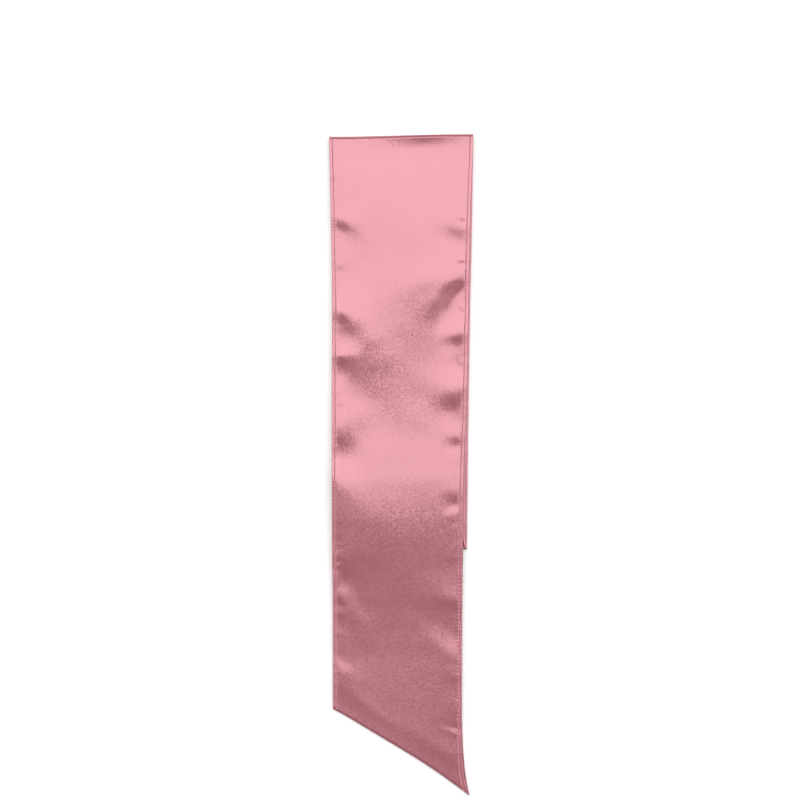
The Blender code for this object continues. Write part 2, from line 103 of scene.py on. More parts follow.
Edges = namedtuple("Edges", "down left right")
FRONT_EDGES = (
    Edges(down=0.0 * MM, left=-54.2 * MM, right=54.2 * MM),
    Edges(down=78.0 * MM, left=-52.5 * MM, right=51.5 * MM),
    Edges(down=130.0 * MM, left=-51.8 * MM, right=50.5 * MM),
    Edges(down=165.0 * MM, left=-52.0 * MM, right=49.8 * MM),
    Edges(down=198.0 * MM, left=-52.1 * MM, right=49.1 * MM),
    Edges(down=259.0 * MM, left=-52.1 * MM, right=46.8 * MM),
    Edges(down=310.0 * MM, left=-52.0 * MM, right=46.0 * MM),
    Edges(down=345.0 * MM, left=-51.5 * MM, right=45.9 * MM),
    Edges(down=431.0 * MM, left=-51.3 * MM, right=45.6 * MM),
    Edges(down=457.0 * MM, left=-51.2 * MM, right=45.4 * MM),
    Edges(down=477.0 * MM, left=-51.2 * MM, right=46.8 * MM),
    Edges(down=489.0 * MM, left=-51.2 * MM, right=49.0 * MM),
    Edges(down=496.0 * MM, left=-51.2 * MM, right=51.4 * MM),
)
UNDER_EDGES = (
    Edges(down=0.0 * MM, left=-53.6 * MM, right=53.6 * MM),
    Edges(down=78.0 * MM, left=-51.8 * MM, right=52.1 * MM),
    Edges(down=130.0 * MM, left=-51.1 * MM, right=51.1 * MM),
    Edges(down=198.0 * MM, left=-51.4 * MM, right=49.8 * MM),
    Edges(down=259.0 * MM, left=-51.5 * MM, right=47.8 * MM),
    Edges(down=310.0 * MM, left=-51.4 * MM, right=46.4 * MM),
    Edges(down=431.0 * MM, left=-51.0 * MM, right=45.6 * MM),
    Edges(down=457.0 * MM, left=-51.0 * MM, right=46.3 * MM),
    Edges(down=477.0 * MM, left=-51.0 * MM, right=47.9 * MM),
    Edges(down=489.0 * MM, left=-51.0 * MM, right=49.8 * MM),
    Edges(down=496.0 * MM, left=-51.0 * MM, right=51.4 * MM),
)
BACK_EDGES = (
    Edges(down=0.0 * MM, left=-54.2 * MM, right=54.2 * MM),
    Edges(down=78.0 * MM, left=-52.2 * MM, right=53.0 * MM),
    Edges(down=130.0 * MM, left=-51.5 * MM, right=51.8 * MM),
    Edges(down=198.0 * MM, left=-51.8 * MM, right=50.7 * MM),
    Edges(down=310.0 * MM, left=-51.6 * MM, right=49.4 * MM),
)
INSIDE_LEFT = 1.0 * MM
INSIDE_RIGHT = 1.6 * MM
INSIDE_EASE = 9.0 * MM

SlantPoint = namedtuple("SlantPoint", "across down")
SLANT = (
    SlantPoint(across=-51.2 * MM, down=430.8 * MM),
    SlantPoint(across=-44.0 * MM, down=434.6 * MM),
    SlantPoint(across=-24.3 * MM, down=446.3 * MM),
    SlantPoint(across=13.4 * MM, down=469.1 * MM),
    SlantPoint(across=26.2 * MM, down=477.5 * MM),
    SlantPoint(across=38.9 * MM, down=486.6 * MM),
    SlantPoint(across=45.7 * MM, down=491.5 * MM),
    SlantPoint(across=51.4 * MM, down=495.9 * MM),
)

# Height of the front ply's underside along its middle and along its edges
Loft = namedtuple("Loft", "down middle edge")
FRONT_LOFT = (
    Loft(down=0.0 * MM, middle=3.9 * MM, edge=3.9 * MM),
    Loft(down=25.0 * MM, middle=4.9 * MM, edge=4.1 * MM),
    Loft(down=60.0 * MM, middle=6.1 * MM, edge=4.3 * MM),
    Loft(down=95.0 * MM, middle=6.4 * MM, edge=4.4 * MM),
    Loft(down=120.0 * MM, middle=6.3 * MM, edge=4.4 * MM),
    Loft(down=150.0 * MM, middle=5.9 * MM, edge=4.4 * MM),
    Loft(down=180.0 * MM, middle=5.5 * MM, edge=4.3 * MM),
    Loft(down=205.0 * MM, middle=5.3 * MM, edge=4.3 * MM),
    Loft(down=225.0 * MM, middle=5.25 * MM, edge=4.3 * MM),
    Loft(down=245.0 * MM, middle=5.5 * MM, edge=4.4 * MM),
    Loft(down=262.0 * MM, middle=6.0 * MM, edge=4.7 * MM),
    Loft(down=276.5 * MM, middle=6.2 * MM, edge=4.8 * MM),
    Loft(down=286.0 * MM, middle=6.1 * MM, edge=4.75 * MM),
    Loft(down=296.5 * MM, middle=5.7 * MM, edge=4.55 * MM),
    Loft(down=312.5 * MM, middle=4.8 * MM, edge=4.0 * MM),
    Loft(down=328.5 * MM, middle=3.85 * MM, edge=3.35 * MM),
    Loft(down=345.0 * MM, middle=3.0 * MM, edge=2.6 * MM),
    Loft(down=360.0 * MM, middle=2.3 * MM, edge=2.1 * MM),
    Loft(down=375.0 * MM, middle=1.8 * MM, edge=1.75 * MM),
    Loft(down=395.0 * MM, middle=1.55 * MM, edge=1.55 * MM),
    Loft(down=450.0 * MM, middle=1.45 * MM, edge=1.45 * MM),
    Loft(down=496.0 * MM, middle=1.3 * MM, edge=1.3 * MM),
)
LOFT_ROUNDNESS = 0.8
SOFT_STOP = 0.3 * MM
FOLD_CALM = 28.0 * MM
SEAM_CALM = 26.0 * MM

# The front ply's left edge bulges up and falls away again before the flap's end
LEFT_BULGE = 1.6 * MM
BULGE_START = 165.0 * MM
BULGE_TOP = 238.0 * MM
BULGE_END = 312.0 * MM
BULGE_WIDTH = 11.0 * MM

# Puckers that the hem stitching draws in: a step in the cloth, high on its upper side and low on its lower
# side, or the other way round where the height is negative. "turn" is the step's direction in degrees.
Pucker = namedtuple("Pucker", "across down turn length half_width height")
PUCKERS = (
    Pucker(-47 * MM, 67 * MM, -28, 6 * MM, 5.5 * MM, 0.62 * MM),
    Pucker(-1 * MM, 157 * MM, 0, 26 * MM, 24 * MM, 0.7 * MM),
    Pucker(14 * MM, 123 * MM, 10, 16 * MM, 14 * MM, 0.4 * MM),
    Pucker(-15 * MM, 208 * MM, -8, 16 * MM, 12 * MM, 0.5 * MM),
    Pucker(-18 * MM, 182 * MM, -8, 20 * MM, 11 * MM, 0.55 * MM),
    Pucker(-46 * MM, 230.5 * MM, 0, 9.5 * MM, 11.5 * MM, 1.35 * MM),
    Pucker(42 * MM, 73 * MM, -22, 9 * MM, 7 * MM, 0.5 * MM),
    Pucker(35 * MM, 121 * MM, 52, 15 * MM, 9.5 * MM, 1.0 * MM),
    Pucker(-38 * MM, 146 * MM, -40, 13 * MM, 9 * MM, 0.78 * MM),
    Pucker(-29 * MM, 175 * MM, -4, 12 * MM, 8.5 * MM, 0.36 * MM),
    Pucker(40 * MM, 153 * MM, -5, 7.5 * MM, 6 * MM, 0.48 * MM),
    Pucker(37 * MM, 200.5 * MM, -5, 9 * MM, 8 * MM, 0.42 * MM),
    Pucker(42 * MM, 229 * MM, 0, 6 * MM, 5 * MM, 0.4 * MM),
    Pucker(41 * MM, 272 * MM, -15, 6 * MM, 5 * MM, 0.24 * MM),
    Pucker(42 * MM, 353 * MM, -20, 9 * MM, 5 * MM, 0.17 * MM),
    Pucker(29 * MM, 375 * MM, -34, 15 * MM, 8 * MM, -0.17 * MM),
    Pucker(-47 * MM, 356 * MM, -20, 5 * MM, 4.5 * MM, -0.08 * MM),
    Pucker(-47 * MM, 371 * MM, -20, 5 * MM, 4.5 * MM, -0.07 * MM),
    Pucker(-46 * MM, 338.5 * MM, -30, 7 * MM, 7 * MM, -0.34 * MM),
    Pucker(-36 * MM, 352 * MM, -50, 12 * MM, 6 * MM, -0.15 * MM),
    Pucker(43 * MM, 385 * MM, -24, 8 * MM, 8 * MM, -0.38 * MM),
    Pucker(-46 * MM, 397 * MM, -30, 8 * MM, 5 * MM, -0.27 * MM),
    Pucker(-16 * MM, 424 * MM, -38, 30 * MM, 18 * MM, -0.24 * MM),
)

# Folds that start at a hem: a crest that runs inwards from it and widens, with the cloth falling away below.
# "turn" is the crest's direction from its start, in degrees from the right, turning up. The open ones run on
# over the hem.
Fold = namedtuple("Fold", "across down turn length width height")
FOLDS = (
    Fold(-50 * MM, 130 * MM, -34, 16 * MM, 9 * MM, 1.4 * MM),
    Fold(-50 * MM, 165.2 * MM, 3, 22 * MM, 5.5 * MM, 1.15 * MM),
    Fold(47 * MM, 146.8 * MM, 178, 7 * MM, 8 * MM, 1.2 * MM),
    Fold(47 * MM, 189.0 * MM, 181, 11 * MM, 9 * MM, 1.2 * MM),
)
OPEN_FOLDS = (Fold(-54 * MM, 254 * MM, -44, 32 * MM, 13 * MM, 1.6 * MM),)
FOLD_SOFTNESS = 0.25
FOLD_START = 6.0 * MM
FOLD_WIDENING = 2.0

# Finer and shallower creases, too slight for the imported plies
FINE_CREASES = (
    Pucker(2.0 * MM, 9.0 * MM, 10, 13 * MM, 4.5 * MM, 0.3 * MM),
    Pucker(-14.0 * MM, 75.0 * MM, -48, 48 * MM, 32 * MM, 0.55 * MM),
    Pucker(-39.0 * MM, 72.0 * MM, -30, 8 * MM, 8 * MM, 0.28 * MM),
    Pucker(46.0 * MM, 62.8 * MM, -15, 2.8 * MM, 1.7 * MM, 0.3 * MM),
    Pucker(46.0 * MM, 94.4 * MM, 5, 2.8 * MM, 1.6 * MM, 0.24 * MM),
    Pucker(-47.6 * MM, 99.6 * MM, 10, 4 * MM, 3 * MM, 0.15 * MM),
    Pucker(42.0 * MM, 112.0 * MM, 25, 10 * MM, 5 * MM, 0.4 * MM),
    Pucker(31.0 * MM, 138.5 * MM, 60, 7 * MM, 6 * MM, 0.38 * MM),
    Pucker(45.0 * MM, 130.0 * MM, -50, 3 * MM, 1.8 * MM, 0.4 * MM),
    Pucker(-47.0 * MM, 135.5 * MM, -20, 5 * MM, 5 * MM, 0.3 * MM),
    Pucker(-24.0 * MM, 159.0 * MM, 20, 9 * MM, 6.5 * MM, 0.4 * MM),
    Pucker(43.0 * MM, 166.0 * MM, 0, 6 * MM, 6 * MM, 0.2 * MM),
    Pucker(45.4 * MM, 172.6 * MM, -60, 4.5 * MM, 2 * MM, 0.2 * MM),
    Pucker(-26.0 * MM, 193.0 * MM, -30, 10 * MM, 8 * MM, 0.28 * MM),
    Pucker(-38.0 * MM, 215.0 * MM, 0, 12 * MM, 9 * MM, 0.3 * MM),
    Pucker(25.0 * MM, 111.0 * MM, 34, 9 * MM, 7 * MM, 0.58 * MM),
    Pucker(31.5 * MM, 125.0 * MM, 54, 10 * MM, 7 * MM, 0.72 * MM),
    Pucker(-20.0 * MM, 168.0 * MM, -12, 14 * MM, 9 * MM, 0.5 * MM),
    Pucker(-47.0 * MM, 184.0 * MM, 0, 5 * MM, 9 * MM, -0.5 * MM),
    Pucker(31.0 * MM, 179.0 * MM, 0, 15 * MM, 13 * MM, -0.34 * MM),
    Pucker(-18.0 * MM, 190.0 * MM, -25, 15 * MM, 11 * MM, 0.6 * MM),
    Pucker(12.0 * MM, 204.0 * MM, 0, 10 * MM, 10 * MM, -0.22 * MM),
    Pucker(-45.3 * MM, 202.0 * MM, 0, 3 * MM, 2 * MM, 0.12 * MM),
    Pucker(29.0 * MM, 226.0 * MM, 8, 20 * MM, 18 * MM, -0.5 * MM),
    Pucker(30.0 * MM, 248.0 * MM, 0, 22 * MM, 12 * MM, -0.2 * MM),
    Pucker(40.0 * MM, 281.0 * MM, 10, 5 * MM, 3.5 * MM, -0.2 * MM),
    Pucker(41.0 * MM, 292.0 * MM, 0, 4 * MM, 3 * MM, -0.06 * MM),
    Pucker(-47.8 * MM, 321.0 * MM, 0, 1.8 * MM, 1.8 * MM, -0.14 * MM),
    Pucker(-14.0 * MM, 302.0 * MM, 0, 16 * MM, 16 * MM, -0.06 * MM),
    Pucker(38.0 * MM, 336.0 * MM, -28, 15 * MM, 12 * MM, -0.25 * MM),
    Pucker(8.0 * MM, 398.0 * MM, -10, 20 * MM, 20 * MM, 0.1 * MM),
    Pucker(43.0 * MM, 401.0 * MM, -20, 9 * MM, 6 * MM, -0.18 * MM),
    Pucker(-30.0 * MM, 400.0 * MM, -48, 18 * MM, 8 * MM, -0.17 * MM),
    Pucker(-49.0 * MM, 416.0 * MM, 0, 6 * MM, 9 * MM, 0.12 * MM),
    Pucker(-19.0 * MM, 432.0 * MM, -35, 17 * MM, 9 * MM, -0.38 * MM),
    Pucker(39.7 * MM, 446.6 * MM, -20, 5 * MM, 2 * MM, -0.25 * MM),
    Pucker(26.0 * MM, 456.0 * MM, -35, 17 * MM, 9 * MM, -0.28 * MM),
)

# Dip below the top fold, which starts on the fold's round
DIP_ACROSS = 17.0 * MM
DIP_HALF_WIDTH = 27.0 * MM
DIP_DEPTH = 1.95 * MM
DIP_SHARE = 0.6
DIP_FALL = 13.0 * MM
DIP_LENGTH = 30.0 * MM

# Patches where handling has ruffled the satin's grain
Patch = namedtuple("Patch", "across down turn length width amount")
RUFFLED = (
    Patch(8 * MM, 8 * MM, 0, 26 * MM, 7 * MM, 1.0),
    Patch(-38 * MM, 74 * MM, -40, 12 * MM, 7 * MM, 0.6),
    Patch(16 * MM, 125 * MM, 45, 18 * MM, 12 * MM, 0.6),
    Patch(-32 * MM, 143 * MM, -35, 14 * MM, 8 * MM, 0.6),
    Patch(-6 * MM, 157 * MM, 20, 20 * MM, 16 * MM, 0.7),
    Patch(-20 * MM, 182 * MM, -10, 22 * MM, 12 * MM, 0.8),
    Patch(-10 * MM, 210 * MM, 0, 24 * MM, 14 * MM, 0.5),
    Patch(26 * MM, 200 * MM, 0, 16 * MM, 9 * MM, 0.6),
    Patch(-42 * MM, 226 * MM, 0, 10 * MM, 10 * MM, 0.7),
    Patch(-10 * MM, 280 * MM, -20, 45 * MM, 15 * MM, 0.35),
    Patch(25 * MM, 285 * MM, 0, 26 * MM, 15 * MM, 0.35),
)

# Soft creases on the hidden sides: on the back flap's outer face and on the under ply's
BACK_CREASES = (
    Pucker(-40 * MM, 44 * MM, 30, 14 * MM, 6 * MM, 0.2 * MM),
    Pucker(36 * MM, 88 * MM, -24, 17 * MM, 7 * MM, 0.22 * MM),
    Pucker(-34 * MM, 131 * MM, 22, 18 * MM, 8 * MM, -0.2 * MM),
    Pucker(8 * MM, 168 * MM, -10, 24 * MM, 10 * MM, 0.18 * MM),
    Pucker(40 * MM, 205 * MM, 32, 14 * MM, 6 * MM, -0.22 * MM),
    Pucker(-38 * MM, 238 * MM, -18, 15 * MM, 7 * MM, 0.2 * MM),
    Pucker(22 * MM, 272 * MM, 14, 20 * MM, 8 * MM, 0.18 * MM),
    Pucker(-36 * MM, 352 * MM, 28, 14 * MM, 6 * MM, 0.2 * MM),
    Pucker(30 * MM, 392 * MM, -26, 15 * MM, 7 * MM, -0.2 * MM),
    Pucker(-18 * MM, 418 * MM, 12, 18 * MM, 8 * MM, 0.18 * MM),
    Pucker(24 * MM, 452 * MM, 30, 12 * MM, 6 * MM, 0.2 * MM),
)
CREASE_DEPTH = 0.2 * MM

# Soft, uneven bumps: on the front ply, beside its hems, and on the hidden sides
Bumps = namedtuple("Bumps", "height cell seed")
FRONT_BUMPS = (
    Bumps(height=0.16 * MM, cell=34.0 * MM, seed=3),
    Bumps(height=0.05 * MM, cell=13.0 * MM, seed=5),
)
HEM_BUMPS = (
    Bumps(height=0.05 * MM, cell=3.2 * MM, seed=7),
    Bumps(height=0.1 * MM, cell=9.0 * MM, seed=8),
)
FLAP_BUMPS = (Bumps(height=0.1 * MM, cell=30.0 * MM, seed=11),)
UNDER_BUMPS = (Bumps(height=0.1 * MM, cell=30.0 * MM, seed=17),)

# The bumps' random field and the cell where the sash starts in it
CELLS = 256
CELLS_LEFT = 100.0
CELLS_ABOVE = 10.0
HEMS_APART = 50.0 * MM
RIPPLE_REACH = 5.0 * MM

# Section of the cloth beside a long edge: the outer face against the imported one, and the inner face
HemPoint = namedtuple("HemPoint", "inset outer inner")
HEM_SECTION = (
    HemPoint(inset=0.0 * MM, outer=-0.3 * MM, inner=-0.68 * MM),
    HemPoint(inset=0.05 * MM, outer=-0.14 * MM, inner=-0.8 * MM),
    HemPoint(inset=0.16 * MM, outer=0.0 * MM, inner=-0.9 * MM),
    HemPoint(inset=0.4 * MM, outer=0.14 * MM, inner=-0.95 * MM),
    HemPoint(inset=0.8 * MM, outer=0.25 * MM, inner=-0.95 * MM),
    HemPoint(inset=1.15 * MM, outer=0.28 * MM, inner=-0.95 * MM),
    HemPoint(inset=1.55 * MM, outer=0.23 * MM, inner=-0.95 * MM),
    HemPoint(inset=1.95 * MM, outer=0.07 * MM, inner=-0.95 * MM),
    HemPoint(inset=2.2 * MM, outer=-0.14 * MM, inner=-0.95 * MM),
    HemPoint(inset=2.4 * MM, outer=-0.32 * MM, inner=-0.95 * MM),
    HemPoint(inset=2.6 * MM, outer=-0.22 * MM, inner=-0.88 * MM),
    HemPoint(inset=2.9 * MM, outer=-0.02 * MM, inner=-0.76 * MM),
    HemPoint(inset=3.4 * MM, outer=0.05 * MM, inner=-0.56 * MM),
    HemPoint(inset=4.2 * MM, outer=0.02 * MM, inner=-0.5 * MM),
    HemPoint(inset=5.0 * MM, outer=0.0 * MM, inner=-0.5 * MM),
)
HEM_THICKNESS = 0.95 * MM

# The turned lip at the slanted seam: how high the outer face may be, by the distance to the seam
LipPoint = namedtuple("LipPoint", "before cap")
SEAM_LIP = (
    LipPoint(before=0.0 * MM, cap=-0.75 * MM),
    LipPoint(before=0.14 * MM, cap=-0.56 * MM),
    LipPoint(before=0.5 * MM, cap=-0.3 * MM),
    LipPoint(before=1.1 * MM, cap=-0.02 * MM),
    LipPoint(before=1.9 * MM, cap=0.3 * MM),
)
LIP_ROWS = (0.0, 0.1, 0.28, 0.6, 1.1, 1.9)
LIP_THICKNESS = 0.36 * MM

# The ends' allowances, turned in beside the seam: their section, by the distance to it
AllowancePoint = namedtuple("AllowancePoint", "before height")
ALLOWANCE_SECTION = (
    AllowancePoint(before=1.3 * MM, height=0.88 * MM),
    AllowancePoint(before=1.6 * MM, height=0.68 * MM),
    AllowancePoint(before=11.8 * MM, height=0.68 * MM),
    AllowancePoint(before=11.8 * MM, height=1.62 * MM),
    AllowancePoint(before=1.6 * MM, height=1.62 * MM),
    AllowancePoint(before=1.3 * MM, height=1.42 * MM),
)
ALLOWANCE_LEFT = -49.0 * MM
ALLOWANCE_RIGHT = 47.0 * MM
ALLOWANCE_COLUMNS = 40

# Spacing of the rows of points along the plies and of the columns across, and the bends round each fold
FRONT_ROW = 1.15 * MM
BROW_ROW = 0.5 * MM
BROW_LENGTH = 12.0 * MM
FLAP_ROW = 3.0 * MM
INSIDE_ROW = 6.0 * MM
HIDDEN_ROW = 8.0 * MM
HIDDEN_END = BACK_LENGTH - 10.0 * MM
UNDER_ROW = 2.2 * MM
LIP_END = 2.9 * MM
ROW_GAP = 1.0 * MM
FRONT_COLUMN = 1.35 * MM
BACK_COLUMN = 3.0 * MM
TOP_BENDS = 14
FLAP_BENDS = 12
INNER_BENDS = 8

# How often the places near the slanted end are worked out again
SHEAR_PASSES = 8


def smooth(share):
    """An ease from 0 to 1, level at both ends."""
    share = np.clip(share, 0.0, 1.0)
    return share * share * (3 - 2 * share)


def along(rows, key, value, at):
    """The values at places along a table of rows, on one smooth curve through them."""
    keys = np.array([getattr(row, key) for row in rows])
    values = np.array([getattr(row, value) for row in rows])
    steps = np.diff(values) / np.diff(keys)
    before, after = steps[:-1], steps[1:]
    total = np.where(before + after == 0, 1.0, before + after)
    inner = np.where(before * after > 0, 2 * before * after / total, 0.0)
    slopes = np.concatenate([steps[:1], inner, steps[-1:]])
    at = np.clip(at, keys[0], keys[-1])
    i = np.clip(np.searchsorted(keys, at, side="right") - 1, 0, len(keys) - 2)
    span = keys[i + 1] - keys[i]
    t = (at - keys[i]) / span
    start = values[i] * (1 + 2 * t) + slopes[i] * span * t
    end = values[i + 1] * (3 - 2 * t) - slopes[i + 1] * span * (1 - t)
    return start * (1 - t) ** 2 + end * t**2


def unevenness(layers, across, down):
    """A soft random surface: layers of bumps, each about one cell wide."""
    total = 0.0
    for bumps in layers:
        values = np.random.default_rng(bumps.seed).uniform(-1, 1, (CELLS, CELLS))
        u = across / bumps.cell + CELLS_LEFT
        v = down / bumps.cell + CELLS_ABOVE
        i, j = np.floor(u).astype(int), np.floor(v).astype(int)
        s, t = smooth(u - i), smooth(v - j)
        left, right = i % CELLS, (i + 1) % CELLS
        above, below = j % CELLS, (j + 1) % CELLS
        near = values[left, above] * (1 - s) + values[right, above] * s
        far = values[left, below] * (1 - s) + values[right, below] * s
        total = total + bumps.height * (near * (1 - t) + far * t)
    return total


def from_form(form, x, down):
    """Distances from a form's place, along its own direction and over it."""
    turn = math.radians(form.turn)
    dx = x - form.across
    dy = form.down - down
    return dx * math.cos(turn) + dy * math.sin(turn), dy * math.cos(turn) - dx * math.sin(turn)


def crease_field(creases, x, down):
    """The height that puckers and creases give the cloth."""
    total = np.zeros_like(x)
    for crease in creases:
        run, over = from_form(crease, x, down)
        step = over / crease.half_width
        total += crease.height * step * np.exp(0.5 - 0.5 * (step**2 + (run / crease.length) ** 2))
    return total


def ruffle(x, down):
    """How ruffled the satin's grain is, from 0 to 1."""
    total = np.zeros_like(x)
    for patch in RUFFLED:
        run, over = from_form(patch, x, down)
        total += patch.amount * np.exp(-0.5 * ((run / patch.length) ** 2 + (over / patch.width) ** 2))
    return np.minimum(total, 1.0)


def fold_field(folds, x, down):
    """The height that folds give the cloth: a widening crest that falls away on both sides and at its end."""
    total = np.zeros_like(x)
    for fold in folds:
        run, over = from_form(fold, x, down)
        widened = fold.width * (1 + np.clip(run / fold.length, 0.0, FOLD_WIDENING))
        crest = np.exp(FOLD_SOFTNESS - np.sqrt((over / widened) ** 2 + FOLD_SOFTNESS**2))
        reach = np.exp(-0.5 * (run / np.where(run > 0, fold.length, FOLD_START)) ** 2)
        total += fold.height * crest * reach
    return total


def place_y(x, down):
    """Where a place along the sash lies. The top fold rises a little towards the right."""
    rise = FOLD_RISE * smooth(0.5 + x / FOLD_RISE_WIDTH) * (1 - smooth(down / FOLD_FADE))
    return TOP_Y - down + rise


def hem_ripple(left, right, down):
    """Small, uneven ripples that the stitching draws in beside the hems, by the distances to both edges."""
    side = np.where(left < right, 0.0, 1.0)
    reach = np.exp(-(((np.minimum(left, right) - HEM_WIDTH) / RIPPLE_REACH) ** 2))
    return reach * unevenness(HEM_BUMPS, side * HEMS_APART, down)


def under_height(down):
    """The under ply's height: on the flap's inner layer, and down on the floor past the flap's end."""
    return UNDER_LIFT * (1 - smooth((down - BACK_LENGTH) / UNDER_DROP))


def fold_dip(x, below):
    """How deep the dip is, this far below the top line of the sash."""
    shape = np.exp(-(((x - DIP_ACROSS) / DIP_HALF_WIDTH) ** 2) - (below / DIP_LENGTH) ** 2)
    return DIP_DEPTH * np.sin(0.5 * math.pi * np.clip(below / DIP_FALL, 0.0, 1.0)) * shape


def front_height(x, down):
    """The outer face of the front ply: a low arch across the sash, with its puckers and creases."""
    left, right = front_edges(down)
    share = np.clip((x - left) / (right - left), 0.0, 1.0)
    arch = (4 * share * (1 - share)) ** LOFT_ROUNDNESS
    middle = along(FRONT_LOFT, "down", "middle", down)
    edge = along(FRONT_LOFT, "down", "edge", down)
    to_seam = along(SLANT, "across", "down", x) - down
    calm = smooth((down - TOP_FOLD) / FOLD_CALM) * smooth(to_seam / SEAM_CALM)
    relief = crease_field(PUCKERS, x, down) + crease_field(FINE_CREASES, x, down)
    relief += fold_field(FOLDS, x, down)
    off_hem = smooth((np.minimum(x - left, right - x) - HEM_FLAT) / HEM_BLEND)
    relief *= HEM_FOLLOW + (1 - HEM_FOLLOW) * off_hem
    risen = smooth((down - BULGE_START) / (BULGE_TOP - BULGE_START))
    bulge = LEFT_BULGE * risen * smooth((BULGE_END - down) / (BULGE_END - BULGE_TOP))
    relief += fold_field(OPEN_FOLDS, x, down) + bulge * np.exp(-(((x - left) / BULGE_WIDTH) ** 2))
    relief += unevenness(FRONT_BUMPS, x, down)
    stop = under_height(down) + PLY_STOP
    free = (edge + (middle - edge) * arch - stop + relief) * calm
    lifted = (free + np.sqrt(free * free + SOFT_STOP**2) - SOFT_STOP * (1 - calm)) / 2 * calm
    return stop + lifted - fold_dip(x, down) + hem_ripple(x - left, right - x, down) * calm + CLOTH


# A face of cloth: its points, the way out of it, and how far its hem may stand proud
Face = namedtuple("Face", "points outward proud")


def front_face(x, turn, down):
    """The front ply's outer face, up to the top fold and round it to the flap, fuller above than below."""
    bent = ~np.isnan(turn)
    angle = np.where(bent, turn, math.pi / 2)
    fullness = np.where(angle > 0, 2 / FOLD_FULLNESS, 1.0)
    ahead = TOP_FOLD * np.abs(np.cos(angle)) ** fullness
    above = TOP_FOLD * np.sign(angle) * np.abs(np.sin(angle)) ** fullness
    y = np.where(bent, place_y(x, TOP_FOLD) + ahead, place_y(x, down))
    dip = np.where(angle > 0, fold_dip(x, TOP_FOLD - ahead), 0.0)
    z = np.where(bent, TOP_FOLD + above - dip, front_height(x, down))
    outward = np.stack([np.zeros_like(x), np.cos(angle), np.sin(angle)], axis=-1)
    proud = np.where(bent, 0.0, smooth((down - TOP_FOLD) / HEM_EASE))
    return Face(np.stack([x, y, z], axis=-1), outward, proud)


def flap_face(x, turn, down):
    """The flap's outer face on the floor, round its end, and up inside on the next ply."""
    bent = ~np.isnan(turn)
    inside = ~bent & (down < 0)
    angle = np.where(bent, turn, np.where(inside, math.pi / 2, -math.pi / 2))
    down = np.abs(down)
    bend_y = place_y(x, BACK_LENGTH - SHOULDER_FOLD) - SHOULDER_FOLD * np.cos(angle)
    y = np.where(bent, bend_y, place_y(x, down))
    relief = crease_field(BACK_CREASES, x, down) + unevenness(FLAP_BUMPS, x, down)
    calm = smooth((BACK_LENGTH - down) / FOLD_CALM) * smooth((down - TOP_FOLD) / FOLD_CALM)
    recess = calm * np.clip(CREASE_DEPTH + relief, 0.0, 2 * CREASE_DEPTH)
    layer = LAYER_TOP - DIP_SHARE * fold_dip(x, down)
    z = np.where(inside, layer, np.where(bent, SHOULDER_FOLD * (1 + np.sin(angle)), recess))
    outward = np.stack([np.zeros_like(x), -np.cos(angle), np.sin(angle)], axis=-1)
    return Face(np.stack([x, y, z], axis=-1), outward, np.zeros_like(x))


def under_face(x, turn, down):
    """The under ply's outer face: round the inside of the top fold, down inside, then on the floor."""
    bent = ~np.isnan(turn)
    angle = np.where(bent, turn, math.pi / 2)
    y = np.where(bent, place_y(x, TOP_FOLD) + INNER_FOLD * np.cos(angle), place_y(x, down))
    relief = crease_field(BACK_CREASES, x, down) + unevenness(UNDER_BUMPS, x, down)
    calm = smooth((down - BACK_LENGTH) / FOLD_CALM)
    calm = calm * smooth((along(SLANT, "across", "down", x) - down) / FOLD_CALM)
    recess = calm * np.clip(CREASE_DEPTH + relief, 0.0, 2 * CREASE_DEPTH)
    layer = under_height(down) - DIP_SHARE * fold_dip(x, down)
    z = np.where(bent, TOP_FOLD + INNER_FOLD * np.sin(angle), layer + recess)
    outward = np.stack([np.zeros_like(x), -np.cos(angle), -np.sin(angle)], axis=-1)
    return Face(np.stack([x, y, z], axis=-1), outward, np.zeros_like(x))


def edges_at(rows, down):
    """The left and right edges at places along the sash."""
    return along(rows, "down", "left", down), along(rows, "down", "right", down)


def front_edges(down):
    return edges_at(FRONT_EDGES, down)


def under_edges(down):
    return edges_at(UNDER_EDGES, down)


def flap_edges(down):
    """The flap's edges, drawn in a little on the ply inside it, where down is counted below zero."""
    inward = np.where(down < 0, smooth((BACK_LENGTH + down) / INSIDE_EASE), 0.0)
    left, right = edges_at(BACK_EDGES, np.abs(down))
    return left + INSIDE_LEFT * inward, right - INSIDE_RIGHT * inward


def evenly(start, end, step):
    """Places from start up to, but not with, end."""
    count = max(1, round(abs(end - start) / step))
    return [start + (end - start) * i / count for i in range(count)]


# A row of points across a ply: its place along the sash, and its turn where it goes round a fold
Row = namedtuple("Row", "turn down")
STRAIGHT = float("nan")


def straight_rows(places):
    return [Row(STRAIGHT, down) for down in places]


def bend_rows(steps, first, last, down):
    """Rows round a fold, from the first to the last turn in degrees."""
    return [Row(math.radians(first + (last - first) * i / steps), down) for i in range(steps + 1)]


def front_rows():
    near_fold = TOP_FOLD + BROW_LENGTH
    lip = straight_rows(SIDE_LENGTH - back * MM for back in LIP_ROWS)
    body = straight_rows(evenly(SIDE_LENGTH - LIP_END, near_fold, FRONT_ROW))
    brow = straight_rows(evenly(near_fold, TOP_FOLD, BROW_ROW))
    return lip + body + brow + bend_rows(TOP_BENDS, 90, -90, TOP_FOLD)


def flap_rows():
    end = BACK_LENGTH - SHOULDER_FOLD
    outside = straight_rows(evenly(TOP_FOLD, end, FLAP_ROW))
    inside = straight_rows(-down for down in evenly(end - ROW_GAP, TOP_FOLD, INSIDE_ROW))
    return outside + bend_rows(FLAP_BENDS, -90, 90, end) + inside + straight_rows([-TOP_FOLD])


